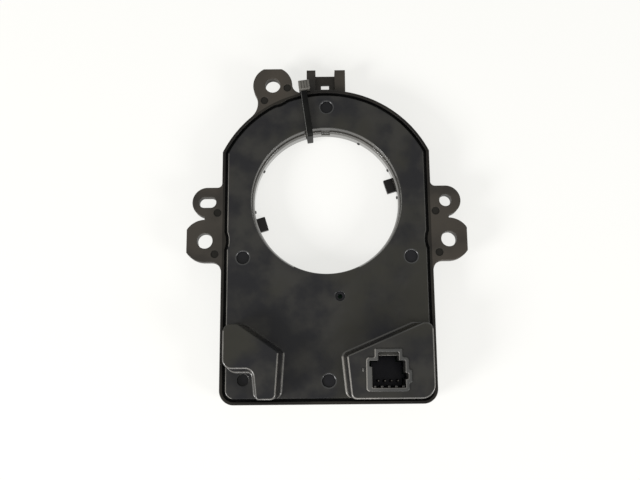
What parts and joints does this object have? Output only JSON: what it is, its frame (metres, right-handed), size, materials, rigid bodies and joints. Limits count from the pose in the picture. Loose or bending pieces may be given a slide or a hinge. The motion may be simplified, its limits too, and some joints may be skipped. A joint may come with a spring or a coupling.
{
  "type": "steering angle sensor",
  "caption": "Flat steering angle sensor with a geared bore rotor, mounting ears, harness rail, connector socket and a shipping tie through the bore.",
  "frame": {"origin": "on the rear face, under the middle of the bounding box; the bore axis is at x 0, y +10.35 mm", "axes": "+X to the right of the drawing, +Y towards the harness rail, +Z out of the front cover, along the steering shaft"},
  "size_m": [0.0992, 0.1218, 0.0188],
  "materials": {
    "case_plastic": "satin moulded black, slightly warm",
    "cover_plastic": "satin moulded black, faintly mottled",
    "rotor_plastic": "smooth moulded black",
    "gear_acetal": "natural acetal",
    "magnet_metal": "nickel coating",
    "board_laminate": "green solder resist",
    "chip_epoxy": "matt moulded",
    "can_aluminium": "drawn can",
    "header_plastic": "matt moulded",
    "pin_brass": "tinned",
    "tie_nylon": "ribbed dark grey nylon"
  },
  "bodies": {
    "housing": {"rear_case": "case_plastic", "front_cover": "cover_plastic", "circuit_board": "board_laminate", "angle_sensor_chip_a": "chip_epoxy", "angle_sensor_chip_b": "chip_epoxy", "microcontroller": "chip_epoxy", "bus_transceiver": "chip_epoxy", "voltage_regulator": "chip_epoxy", "timing_crystal": "can_aluminium", "surge_diode": "chip_epoxy", "supply_capacitor": "can_aluminium", "backup_capacitor": "can_aluminium", "filter_choke": "chip_epoxy", "pin_header": "header_plastic", "connector_pin_1": "pin_brass", "connector_pin_2": "pin_brass", "connector_pin_3": "pin_brass", "connector_pin_4": "pin_brass", "shipping_tie": "tie_nylon"},
    "hub_rotor": {"rotor": "rotor_plastic"},
    "gear_a": {"measuring_gear_a": "gear_acetal", "magnet_a": "magnet_metal"},
    "gear_b": {"measuring_gear_b": "gear_acetal", "magnet_b": "magnet_metal"}
  },
  "joints": [
    {"name": "rotor_turn", "type": "hinge", "parent": "housing", "child": "hub_rotor", "pos_m": [0, 0.01035, 0], "axis": [0, 0, 1], "range_deg": [-84, 77]},
    {"name": "gear_a_turn", "type": "hinge", "parent": "housing", "child": "gear_a", "pos_m": [-0.01541, -0.02979, 0], "axis": [0, 0, 1], "range_deg": [-220, 238]},
    {"name": "gear_b_turn", "type": "hinge", "parent": "housing", "child": "gear_b", "pos_m": [0.01577, -0.03073, 0], "axis": [0, 0, 1], "range_deg": [-205, 222]}
  ],
  "couplings": [
    {"joint": "gear_a_turn", "follows": "rotor_turn", "ratio": -2.5833},
    {"joint": "gear_b_turn", "follows": "rotor_turn", "ratio": -2.3846}
  ]
}
